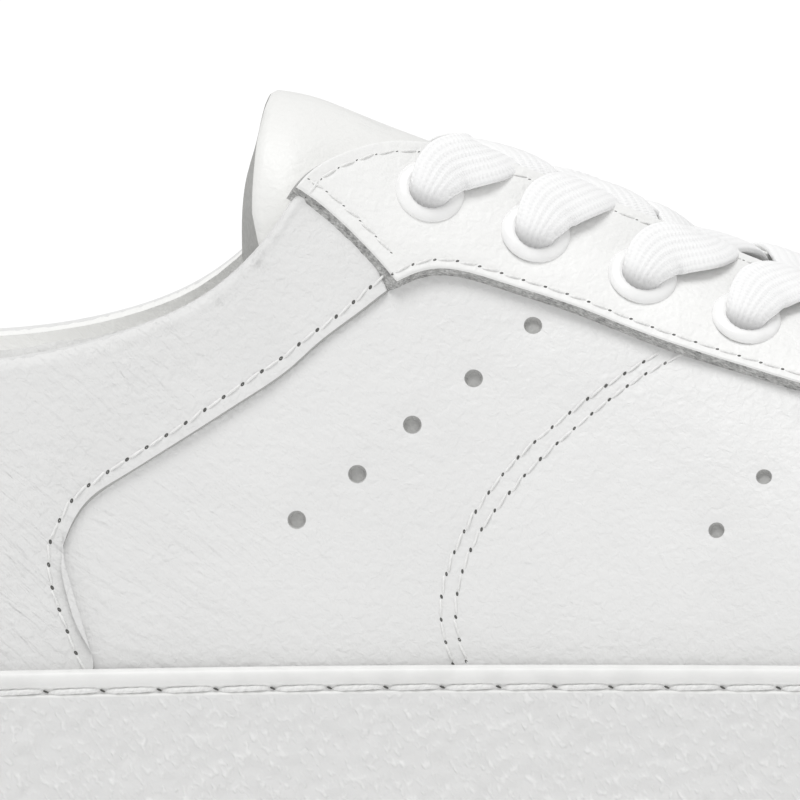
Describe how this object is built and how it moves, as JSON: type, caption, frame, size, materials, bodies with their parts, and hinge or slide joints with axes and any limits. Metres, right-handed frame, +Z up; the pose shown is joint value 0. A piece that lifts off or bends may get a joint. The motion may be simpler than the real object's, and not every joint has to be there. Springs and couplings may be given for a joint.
{
  "type": "low lace-up barefoot sneaker",
  "caption": "Low white leather lace-up sneaker with a wide toe, an open collar and throat, a flat thin bed and a tall smooth-lipped rubber cup sole.",
  "frame": {"origin": "on the floor, under the middle of the sole's outline box", "axes": "+X from heel to toe, +Y towards the inner (medial) side of the foot, +Z up"},
  "size_m": [0.286, 0.1053, 0.0948],
  "materials": {
    "leather": "fine-grained white leather, satin",
    "raw_edge": "fibrous grey felt of the cut edges",
    "lining": "soft warm-white lining leather",
    "sole_rubber": "matt off-white rubber, pebbled side, smooth lip",
    "footbed": "light woven footbed cloth",
    "eyelet": "gloss white lacquer",
    "lace": "flat ribbed cotton weave",
    "thread": "waxed white thread"
  },
  "bodies": {
    "root": {"cupsole": "sole_rubber", "insole": "footbed", "upper": "leather", "heel_panel": "leather", "eyestay": "leather", "tongue": "leather", "eyelet_lateral_1": "eyelet", "eyelet_lateral_2": "eyelet", "eyelet_lateral_3": "eyelet", "eyelet_lateral_4": "eyelet", "eyelet_lateral_5": "eyelet", "eyelet_lateral_6": "eyelet", "eyelet_medial_1": "eyelet", "eyelet_medial_2": "eyelet", "eyelet_medial_3": "eyelet", "eyelet_medial_4": "eyelet", "eyelet_medial_5": "eyelet", "eyelet_medial_6": "eyelet", "lace_cross_1": "lace", "lace_cross_2": "lace", "lace_cross_3": "lace", "lace_cross_4": "lace", "lace_cross_5": "lace", "lace_bar": "lace"}
  },
  "joints": []
}
